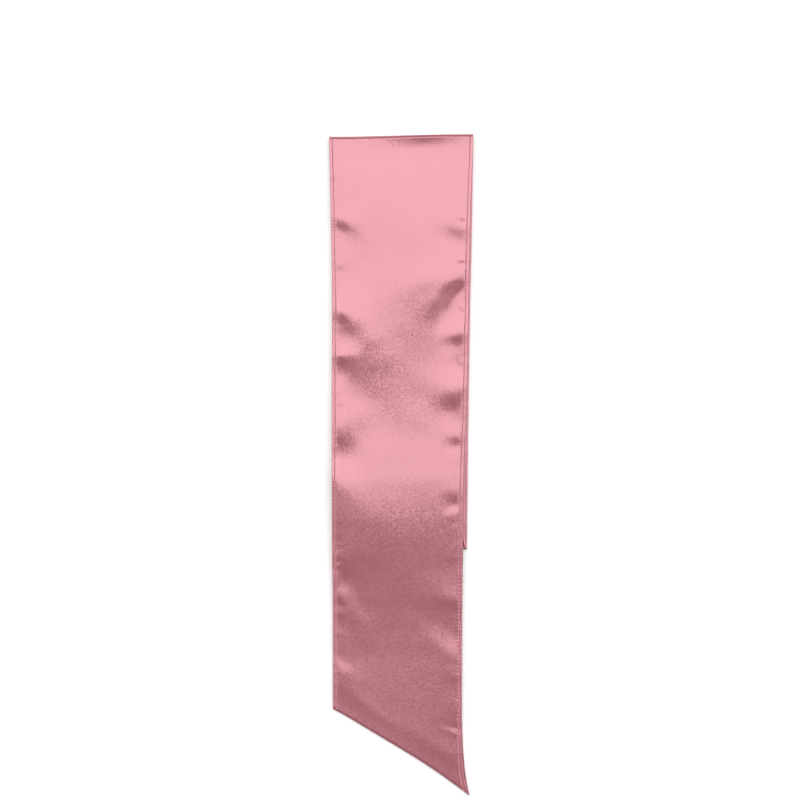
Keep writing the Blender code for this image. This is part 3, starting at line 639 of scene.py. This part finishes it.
def under_rows():
    hidden = straight_rows(evenly(TOP_FOLD + ROW_GAP, HIDDEN_END, HIDDEN_ROW))
    shown = straight_rows(evenly(HIDDEN_END, SIDE_LENGTH - LIP_END, UNDER_ROW))
    lip = straight_rows(SIDE_LENGTH - back * MM for back in reversed(LIP_ROWS))
    return bend_rows(INNER_BENDS, -90, 90, TOP_FOLD) + hidden + shown + lip


# A ply: its outer face, rows of points, edges, the space between columns, and whether it ends in the slant
Ply = namedtuple("Ply", "name face rows edges column slanted")
FRONT = Ply("front_cloth", front_face, front_rows(), front_edges, FRONT_COLUMN, True)
FLAP = Ply("flap_cloth", flap_face, flap_rows(), flap_edges, BACK_COLUMN, False)
UNDER = Ply("under_cloth", under_face, under_rows(), under_edges, BACK_COLUMN, True)


def settle(ply, down, across):
    """Across and down of a ply's points. Towards a slanted end the rows shear to lie along the seam."""
    reach = np.clip((down - SHEAR_START) / (SIDE_LENGTH - SHEAR_START), 0.0, 1.0) if ply.slanted else 0.0
    at = down
    for _ in range(SHEAR_PASSES):
        x = across(*ply.edges(at))
        at = down + reach * (along(SLANT, "across", "down", x) - SIDE_LENGTH)
    return x, at


def spread(ply):
    """Across, turn and down of each row and column, and each column's distance to the nearer edge.

    The columns lie close together over the hems."""
    turn = np.array([row.turn for row in ply.rows])[:, None]
    down = np.array([row.down for row in ply.rows])[:, None]
    hem = np.array([point.inset for point in HEM_SECTION])
    left, right = ply.edges(down)
    count = max(2, round(float(np.mean(right - left) - 2 * hem[-1]) / ply.column))
    inner = np.arange(1, count) / count
    shares = np.concatenate([np.zeros_like(hem), inner, np.ones_like(hem)])
    offsets = np.concatenate([hem, hem[-1] * (1 - 2 * inner), -hem[::-1]])
    x, at = settle(ply, down, lambda left, right: left + shares * (right - left) + offsets)
    inset = np.concatenate([hem, np.full(count - 1, hem[-1]), hem[::-1]])
    return x, np.broadcast_to(turn, x.shape), at, np.broadcast_to(inset, x.shape)


def cloth_faces(ply, x, turn, down, inset):
    """Outer and inner points of a ply, with its hem section and its lip at the seam."""
    made = ply.face(x, turn, down)
    outer = along(HEM_SECTION, "inset", "outer", inset)
    inner = along(HEM_SECTION, "inset", "inner", inset)
    if ply.slanted:
        before = np.maximum(along(SLANT, "across", "down", x) - np.abs(down), 0.0)
        outer = np.minimum(outer, along(SEAM_LIP, "before", "cap", before))
    outer = outer - HEM_RISE * (1 - made.proud)
    inner = np.maximum(inner - HEM_RISE * (1 - made.proud), -HEM_THICKNESS)
    inner = np.minimum(inner, outer - LIP_THICKNESS)
    return made.points + made.outward * outer[..., None], made.points + made.outward * inner[..., None]


def shell(name, outer, inner, x, marks, materials):
    """A thin closed sheet between two grids of points.

    Its map holds metres across and along the cloth, and its marks say how ruffled the grain is and how
    much the stitching draws the cloth in."""
    rows, columns = x.shape
    points = np.concatenate([outer.reshape(-1, 3), inner.reshape(-1, 3)])
    index = np.arange(rows * columns).reshape(rows, columns)
    below = index + rows * columns
    quads = np.stack([index[:-1, :-1], index[:-1, 1:], index[1:, 1:], index[1:, :-1]], -1).reshape(-1, 4)
    under = np.stack([below[:-1, :-1], below[1:, :-1], below[1:, 1:], below[:-1, 1:]], -1).reshape(-1, 4)
    left = np.stack([index[:-1, 0], index[1:, 0], below[1:, 0], below[:-1, 0]], -1)
    right = np.stack([index[:-1, -1], below[:-1, -1], below[1:, -1], index[1:, -1]], -1)
    first = np.stack([index[0, :-1], below[0, :-1], below[0, 1:], index[0, 1:]], -1)
    last = np.stack([index[-1, :-1], index[-1, 1:], below[-1, 1:], below[-1, :-1]], -1)
    faces = np.concatenate([quads, under, left, right, first, last])
    mesh = bpy.data.meshes.new(name)
    mesh.from_pydata(points.tolist(), [], faces.tolist())
    middle = columns // 2
    steps = np.linalg.norm(np.diff(outer[:, middle], axis=0), axis=1)
    length = np.concatenate([[0.0], np.cumsum(steps)])
    chart = np.stack([x, np.broadcast_to(length[:, None], x.shape)], -1).reshape(-1, 2)
    chart = np.concatenate([chart, chart])
    layer = mesh.uv_layers.new(name="cloth")
    layer.data.foreach_set("uv", chart[faces.reshape(-1)].astype(np.float32).reshape(-1))
    for label, amount in marks.items():
        mark = mesh.attributes.new(label, "FLOAT", "POINT")
        mark.data.foreach_set("value", np.concatenate([amount.ravel(), amount.ravel()]).astype(np.float32))
    for material in materials:
        mesh.materials.append(material)
    turned = sum(point.inset <= HEM_WIDTH for point in HEM_SECTION) - 1
    reverse = np.zeros((rows - 1, columns - 1), np.int32)
    reverse[:, turned:-turned] = 1
    inside = np.zeros(len(faces), np.int32)
    inside[len(quads) : len(quads) + len(under)] = reverse.ravel()
    mesh.polygons.foreach_set("material_index", inside)
    mesh.shade_smooth()
    mesh.update()
    piece = bpy.data.objects.new(name, mesh)
    bpy.context.scene.collection.objects.link(piece)
    return piece


def make_ply(ply, materials):
    """The cloth of one ply, with its right side and its reverse."""
    x, turn, down, inset = spread(ply)
    outer, inner = cloth_faces(ply, x, turn, down, inset)
    marks = {
        "ruffled": ruffle(x, down) if ply is FRONT else np.zeros_like(x),
        "sewn": np.exp(-(((inset - HEM_WIDTH) / SEWN_REACH) ** 2)),
    }
    return shell(ply.name, outer, inner, x, marks, materials)


def seam_allowance(material):
    """The two ends' allowances, turned in and lying between front and under ply beside the slanted seam."""
    xs = np.linspace(ALLOWANCE_LEFT, ALLOWANCE_RIGHT, ALLOWANCE_COLUMNS)
    ring = []
    for point in ALLOWANCE_SECTION:
        down = along(SLANT, "across", "down", xs) - point.before
        ring.append(np.stack([xs, place_y(xs, down), np.full_like(xs, point.height)], -1))
    points = np.stack(ring, axis=1)
    count, around = points.shape[:2]
    index = np.arange(count * around).reshape(count, around)
    following = np.roll(index, -1, axis=1)
    faces = np.stack([index[:-1], index[1:], following[1:], following[:-1]], -1).reshape(-1, 4).tolist()
    faces += [index[0].tolist(), index[-1][::-1].tolist()]
    mesh = bpy.data.meshes.new("seam_allowance")
    mesh.from_pydata(points.reshape(-1, 3).tolist(), [], faces)
    chart = np.stack([points[..., 0], points[..., 1]], -1).reshape(-1, 2)
    layer = mesh.uv_layers.new(name="cloth")
    corners = np.array([corner for face in faces for corner in face])
    layer.data.foreach_set("uv", chart[corners].astype(np.float32).reshape(-1))
    mesh.materials.append(material)
    piece = bpy.data.objects.new("seam_allowance", mesh)
    bpy.context.scene.collection.objects.link(piece)
    return piece


def stitch_line(ply, from_right, first, last):
    """Points along the stitching of one hem, in its groove, between two places along the ply."""
    rows = [row for row in ply.rows if first <= row.down <= last]
    turn = np.array([[row.turn] for row in rows])
    down = np.array([[row.down] for row in rows])
    x, down = settle(ply, down, lambda left, right: right - HEM_WIDTH if from_right else left + HEM_WIDTH)
    outer, _ = cloth_faces(ply, x, turn, down, np.full_like(x, HEM_WIDTH))
    lift = THREAD_HEIGHT / 2 - THREAD_SINK
    return (outer + ply.face(x, turn, down).outward * lift).reshape(-1, 3)


class Value:
    """A number socket of a shader tree, with Python's operators."""

    def __init__(self, tree, socket):
        self.tree = tree
        self.socket = socket

    def math(self, operation, *others):
        return Value(self.tree, self.tree.add("ShaderNodeMath", {"operation": operation}, [self, *others]))

    def __add__(self, other):
        return self.math("ADD", other)

    __radd__ = __add__

    def __mul__(self, other):
        return self.math("MULTIPLY", other)

    __rmul__ = __mul__

    def __sub__(self, other):
        return self.math("SUBTRACT", other)

    def __rsub__(self, other):
        return (self * -1.0) + other

    def __truediv__(self, other):
        return self.math("DIVIDE", other)

    def floor(self):
        return self.math("FLOOR")

    def fraction(self):
        return self.math("FRACT")

    def power(self, other):
        return self.math("POWER", other)


class Tree:
    """Builds the nodes of one material."""

    def __init__(self, material):
        self.nodes = material.node_tree.nodes
        self.links = material.node_tree.links

    def add(self, kind, settings, inputs, output=0):
        """A node with its settings, then its inputs by place or name. Gives the output socket asked for."""
        node = self.nodes.new(kind)
        for key, value in settings.items():
            setattr(node, key, value)
        pairs = inputs.items() if isinstance(inputs, dict) else enumerate(inputs)
        for key, value in pairs:
            if isinstance(value, Value):
                value = value.socket
            if isinstance(value, bpy.types.NodeSocket):
                self.links.new(value, node.inputs[key])
            else:
                node.inputs[key].default_value = value
        return node.outputs[output]

    def value(self, kind, settings, inputs, output=0):
        return Value(self, self.add(kind, settings, inputs, output))

    def mix(self, share, deep, light):
        """A colour between a deep and a light one."""
        kind = {"data_type": "RGBA", "blend_type": "MIX"}
        return self.add("ShaderNodeMix", kind, {0: share, 6: (*deep, 1.0), 7: (*light, 1.0)}, 2)


SHEEN_TINT = (1.0, 0.95, 1.05, 1.0)


def new_material(name, roughness, metallic, ior, specular=0.5):
    material = bpy.data.materials.new(name)
    material.use_nodes = True
    shader = material.node_tree.nodes["Principled BSDF"]
    shader.inputs["Roughness"].default_value = roughness
    shader.inputs["Metallic"].default_value = metallic
    shader.inputs["IOR"].default_value = ior
    shader.inputs["Specular IOR Level"].default_value = specular
    shader.inputs["Specular Tint"].default_value = SHEEN_TINT
    return material, shader, Tree(material)


# The satin's two sides, and a darker copy of its reverse for the turned-in allowance between the plies, which
# paints in the shade there
Satin = namedtuple("Satin", "name light deep roughness metallic ior weave")
RIGHT_SIDE = Satin(
    name="satin_pink",
    light=(0.432, 0.129, 0.157),
    deep=(0.388, 0.112, 0.136),
    roughness=0.22,
    metallic=0.36,
    ior=2.2,
    weave=0.012,
)
REVERSE = Satin(
    name="satin_reverse",
    light=(0.5, 0.17, 0.2),
    deep=(0.44, 0.14, 0.165),
    roughness=0.5,
    metallic=0.1,
    ior=1.5,
    weave=0.01,
)
# Painted shade: the allowance's colours are darker than the reverse's to stand in for the shade between the
# plies
SHADED_INSIDE = REVERSE._replace(name="satin_inside", light=(0.4, 0.12, 0.14), deep=(0.34, 0.1, 0.12))

# Its threads, grain and streaks. The scales count features for each metre.
THREAD_PITCH = 0.24 * MM
FLOAT_LENGTH = 1.3 * MM
FLOAT_SIZE = 0.4 * MM
FLOAT_LEAN = 0.085
TIE_SHIFT = 0.382
TIE_SHARPNESS = 6.0
TIE_DEPTH = 0.7
GRAIN_SCALE = 780.0
GRAIN_DEPTH = 0.02
CLOUD_SCALE = 42.0
STREAK_SCALE = (900.0, 28.0, 1.0)
RUFFLE_GAIN = 1.2

# How much each pattern shades the colour and dulls the gloss
CLOUD_SHADE = 0.5
STREAK_SHADE = 0.35
GRAIN_SHADE = 0.15
STREAK_DULL = 0.04
CLOUD_DULL = 0.02
EVEN_GLOSS = 0.03


def satin(finish):
    """Satin: long floats of thread along the cloth, tied down here and there, over a fine uneven grain."""
    material, shader, tree = new_material(finish.name, finish.roughness, finish.metallic, finish.ior)
    chart = tree.add("ShaderNodeUVMap", {"uv_map": "cloth"}, [])
    across = tree.value("ShaderNodeSeparateXYZ", {}, [chart], 0)
    length = tree.value("ShaderNodeSeparateXYZ", {}, [chart], 1)
    thread = across / THREAD_PITCH
    bow = thread.fraction() * 2 - 1
    ridge = 1 - bow * bow
    tie = (length / FLOAT_LENGTH + thread.floor() * TIE_SHIFT).fraction() * 2 - 1
    tied = (tie * tie).power(TIE_SHARPNESS)
    weave = ridge * (1 - tied * TIE_DEPTH)
    place = tree.add("ShaderNodeTexCoord", {}, [], "Object")
    grain = tree.value("ShaderNodeTexNoise", {}, {"Vector": place, "Scale": GRAIN_SCALE, "Detail": 2.0})
    cloud = tree.value("ShaderNodeTexNoise", {}, {"Vector": place, "Scale": CLOUD_SCALE, "Detail": 3.0})
    stretch = tree.add("ShaderNodeMapping", {}, {"Vector": chart, "Scale": STREAK_SCALE})
    streak = tree.value("ShaderNodeTexNoise", {}, {"Vector": stretch, "Scale": 1.0, "Detail": 1.0})
    shade = cloud * CLOUD_SHADE + streak * STREAK_SHADE + grain * GRAIN_SHADE
    tree.links.new(tree.mix(shade, finish.deep, finish.light), shader.inputs["Base Color"])
    dull = finish.roughness - EVEN_GLOSS + streak * STREAK_DULL + cloud * CLOUD_DULL
    tree.links.new(dull.socket, shader.inputs["Roughness"])
    ruffled = tree.value("ShaderNodeAttribute", {"attribute_name": "ruffled"}, [], 2)
    sewn = tree.value("ShaderNodeAttribute", {"attribute_name": "sewn"}, [], 2)
    rough = 1 + ruffled * RUFFLE_GAIN
    drawn = (length * (2 * math.pi / STITCH_PITCH)).math("SINE") * sewn * SEWN_DEPTH
    height = weave * finish.weave + grain * (GRAIN_DEPTH * rough) + drawn
    bump = tree.add("ShaderNodeBump", {}, {"Strength": 1.0, "Distance": 1.0 * MM, "Height": height})
    floats = tree.add("ShaderNodeTexVoronoi", {}, {"Vector": place, "Scale": 1 / FLOAT_SIZE}, "Color")
    lean = tree.add("ShaderNodeVectorMath", {"operation": "SUBTRACT"}, {0: floats, 1: (0.5, 0.5, 0.5)})
    lean = tree.add("ShaderNodeVectorMath", {"operation": "SCALE"}, {0: lean, "Scale": FLOAT_LEAN * rough})
    leaning = tree.add("ShaderNodeVectorMath", {"operation": "ADD"}, {0: bump, 1: lean})
    facing = tree.add("ShaderNodeVectorMath", {"operation": "NORMALIZE"}, {0: leaning})
    tree.links.new(facing, shader.inputs["Normal"])
    return material


THREAD_LIGHT = (0.42, 0.13, 0.155)
THREAD_DEEP = (0.34, 0.1, 0.12)
FIBRE_SCALE = 2600.0


def sewing_thread():
    """Spun sewing thread: matte, with its twist."""
    material, shader, tree = new_material("sewing_thread", roughness=0.55, metallic=0.0, ior=1.45)
    place = tree.add("ShaderNodeTexCoord", {}, [], "Object")
    fibre = tree.value("ShaderNodeTexNoise", {}, {"Vector": place, "Scale": FIBRE_SCALE, "Detail": 2.0})
    tree.links.new(tree.mix(fibre, THREAD_DEEP, THREAD_LIGHT), shader.inputs["Base Color"])
    bump = tree.add("ShaderNodeBump", {}, {"Strength": 0.6, "Distance": 0.05 * MM, "Height": fibre})
    tree.links.new(bump, shader.inputs["Normal"])
    return material


STITCH_SHORTEST = 0.86
STITCH_LONGEST = 1.08
STITCH_SEED = 4


def stitch_tree(material):
    """Stitches laid end to end along the paths of a wire mesh."""
    tree = bpy.data.node_groups.new("stitches", "GeometryNodeTree")
    face = tree.interface
    face.new_socket("Geometry", in_out="INPUT", socket_type="NodeSocketGeometry")
    for label in ("Pitch", "Length", "Width", "Height"):
        face.new_socket(label, in_out="INPUT", socket_type="NodeSocketFloat")
    face.new_socket("Seed", in_out="INPUT", socket_type="NodeSocketInt")
    face.new_socket("Geometry", in_out="OUTPUT", socket_type="NodeSocketGeometry")

    def add(kind, inputs, **settings):
        node = tree.nodes.new(kind)
        for key, value in settings.items():
            setattr(node, key, value)
        for key, value in inputs.items():
            if isinstance(value, bpy.types.NodeSocket):
                tree.links.new(value, node.inputs[key])
            else:
                node.inputs[key].default_value = value
        return node

    sizes = add("NodeGroupInput", {}).outputs
    curve = add("GeometryNodeMeshToCurve", {"Mesh": sizes["Geometry"]}).outputs[0]
    spaced = add("GeometryNodeResampleCurve", {"Curve": curve, "Length": sizes["Pitch"]}, mode="LENGTH")
    bead = add("GeometryNodeMeshUVSphere", {"Segments": 6, "Rings": 5, "Radius": 0.5})
    tangent = add("GeometryNodeInputTangent", {})
    turned = add("FunctionNodeAlignRotationToVector", {"Vector": tangent.outputs[0]}, axis="X")
    limits = {2: STITCH_SHORTEST, 3: STITCH_LONGEST, "Seed": sizes["Seed"]}
    share = add("FunctionNodeRandomValue", limits, data_type="FLOAT")
    long = add("ShaderNodeMath", {0: sizes["Length"], 1: share.outputs[1]}, operation="MULTIPLY")
    size = add("ShaderNodeCombineXYZ", {0: long.outputs[0], 1: sizes["Width"], 2: sizes["Height"]})
    placed = add(
        "GeometryNodeInstanceOnPoints",
        {
            "Points": spaced.outputs[0],
            "Instance": bead.outputs[0],
            "Rotation": turned.outputs[0],
            "Scale": size.outputs[0],
        },
    )
    real = add("GeometryNodeRealizeInstances", {"Geometry": placed.outputs[0]})
    soft = add("GeometryNodeSetShadeSmooth", {0: real.outputs[0]})
    painted = add("GeometryNodeSetMaterial", {"Geometry": soft.outputs[0], "Material": material})
    result = tree.nodes.new("NodeGroupOutput")
    tree.links.new(painted.outputs[0], result.inputs[0])
    return tree


def stitches(name, paths, material):
    """One plain mesh of all the stitches along these paths."""
    points, edges = [], []
    for path in paths:
        start = len(points)
        points.extend(path.tolist())
        edges.extend((start + i, start + i + 1) for i in range(len(path) - 1))
    wire = bpy.data.meshes.new(name)
    wire.from_pydata(points, edges, [])
    lines = bpy.data.objects.new("stitch_paths", wire)
    bpy.context.scene.collection.objects.link(lines)
    modifier = lines.modifiers.new("stitches", "NODES")
    modifier.node_group = stitch_tree(material)
    sizes = {
        "Pitch": STITCH_PITCH,
        "Length": STITCH_LENGTH,
        "Width": THREAD_WIDTH,
        "Height": THREAD_HEIGHT,
        "Seed": STITCH_SEED,
    }
    for item in modifier.node_group.interface.items_tree:
        if item.in_out == "INPUT" and item.name in sizes:
            modifier[item.identifier] = sizes[item.name]
    bpy.context.view_layer.update()
    graph = bpy.context.evaluated_depsgraph_get()
    mesh = bpy.data.meshes.new_from_object(lines.evaluated_get(graph), depsgraph=graph)
    bpy.data.objects.remove(lines)
    mesh.name = name
    piece = bpy.data.objects.new(name, mesh)
    bpy.context.scene.collection.objects.link(piece)
    return piece


FLOOR_HALF = 20.0
FLOOR_DROP = 0.2 * MM
FLOOR_COLOUR = (0.95, 0.95, 0.95, 1.0)
AMBIENT = 0.18
LIGHT_COLOUR = (1.0, 0.995, 0.985)

# Level softboxes high above the sash, from near to far along it: a bright one, and a dimmer one before it
Softbox = namedtuple("Softbox", "name near far radiance")
SOFTBOXES = (
    Softbox(name="softbox", near=-0.15, far=3.4, radiance=2.46),
    Softbox(name="softbox_rim", near=-0.35, far=-0.15, radiance=1.2),
)
SOFTBOX_HEIGHT = 3.2
SOFTBOX_WIDTH = 9.0

# Long softboxes on both sides, turned towards the sash
STRIP_PLACE = 2.0
STRIP_HEIGHT = 1.7
STRIP_WIDTH = 0.9
STRIP_LENGTH = 4.0
STRIP_TURN = 50.0
STRIP_RADIANCE = 1.5


def light(name, width, length, radiance):
    """A rectangular softbox that shines down, not seen by the camera itself."""
    data = bpy.data.lights.new(name, "AREA")
    data.shape = "RECTANGLE"
    data.size, data.size_y = width, length
    data.energy = radiance * math.pi * width * length
    data.color = LIGHT_COLOUR
    lamp = bpy.data.objects.new(name, data)
    lamp.visible_camera = False
    bpy.context.scene.collection.objects.link(lamp)
    return lamp


def panel(box):
    """A level softbox high above the sash."""
    lamp = light(box.name, SOFTBOX_WIDTH, box.far - box.near, box.radiance)
    lamp.location = (0.0, (box.near + box.far) / 2, SOFTBOX_HEIGHT)


def strip(name, side):
    """A long softbox beside the sash that picks out the rounded hems."""
    lamp = light(name, STRIP_WIDTH, STRIP_LENGTH, STRIP_RADIANCE)
    lamp.location = (side * STRIP_PLACE, 0.0, STRIP_HEIGHT)
    lamp.rotation_euler = (0.0, side * math.radians(STRIP_TURN), 0.0)


def make_floor():
    """The plain, pale surface that the sash lies on."""
    mesh = bpy.data.meshes.new("floor")
    corners = [(x * FLOOR_HALF, y * FLOOR_HALF, 0) for x, y in ((-1, -1), (1, -1), (1, 1), (-1, 1))]
    mesh.from_pydata(corners, [], [(0, 1, 2, 3)])
    floor = bpy.data.objects.new("floor", mesh)
    floor.location.z = -FLOOR_DROP
    bpy.context.scene.collection.objects.link(floor)
    material, shader, _ = new_material("pale_floor", roughness=0.9, metallic=0.0, ior=1.4, specular=0.1)
    shader.inputs["Base Color"].default_value = FLOOR_COLOUR
    mesh.materials.append(material)


def make_light():
    """Soft studio light: an even room, softboxes above and a strip on each side."""
    world = bpy.data.worlds.new("studio")
    bpy.context.scene.world = world
    world.use_nodes = True
    world.node_tree.nodes["Background"].inputs["Color"].default_value = (1.0, 1.0, 1.0, 1.0)
    world.node_tree.nodes["Background"].inputs["Strength"].default_value = AMBIENT
    for box in SOFTBOXES:
        panel(box)
    strip("strip_left", -1)
    strip("strip_right", 1)


def make_camera():
    """The camera, straight above the sash as in the photograph."""
    data = bpy.data.cameras.new("camera")
    data.sensor_width = SENSOR
    data.lens = SENSOR * CAMERA_HEIGHT / (PIXEL * PIXELS)
    camera = bpy.data.objects.new("camera", data)
    camera.location = (*CAMERA_PLACE, CAMERA_HEIGHT)
    bpy.context.scene.collection.objects.link(camera)
    bpy.context.scene.camera = camera
    bpy.context.scene.view_settings.view_transform = "Standard"
    bpy.context.scene.view_settings.look = "None"


def main():
    make_floor()
    make_light()
    make_camera()
    faces = (satin(RIGHT_SIDE), satin(REVERSE))
    front = make_ply(FRONT, faces)
    flap = make_ply(FLAP, faces)
    under = make_ply(UNDER, faces)
    # The allowance takes the darker copy of the reverse, painted shade between the plies
    allowance = seam_allowance(satin(SHADED_INSIDE))

    end = SIDE_LENGTH - ROW_GAP
    bend = BACK_LENGTH - SHOULDER_FOLD
    paths = []
    for from_right in (False, True):
        paths.append(stitch_line(FRONT, from_right, 0, end))
        paths.append(stitch_line(FLAP, from_right, 0, bend - ROW_GAP))
        paths.append(stitch_line(UNDER, from_right, BACK_LENGTH, end))
    paths.append(stitch_line(FLAP, True, ROW_GAP - bend, 0))
    sewn = stitches("hem_stitches", paths, sewing_thread())

    for piece in (front, flap, under, allowance, sewn):
        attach(piece, "root")
    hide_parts("front_stretch", "front_hem_left", "front_hem_right")
    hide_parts("back_stretch", "back_hem_left", "back_hem_right", "inner_layers")
    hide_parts("under_stretch", "under_hem_left", "under_hem_right")
    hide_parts("slanted_seam")


main()
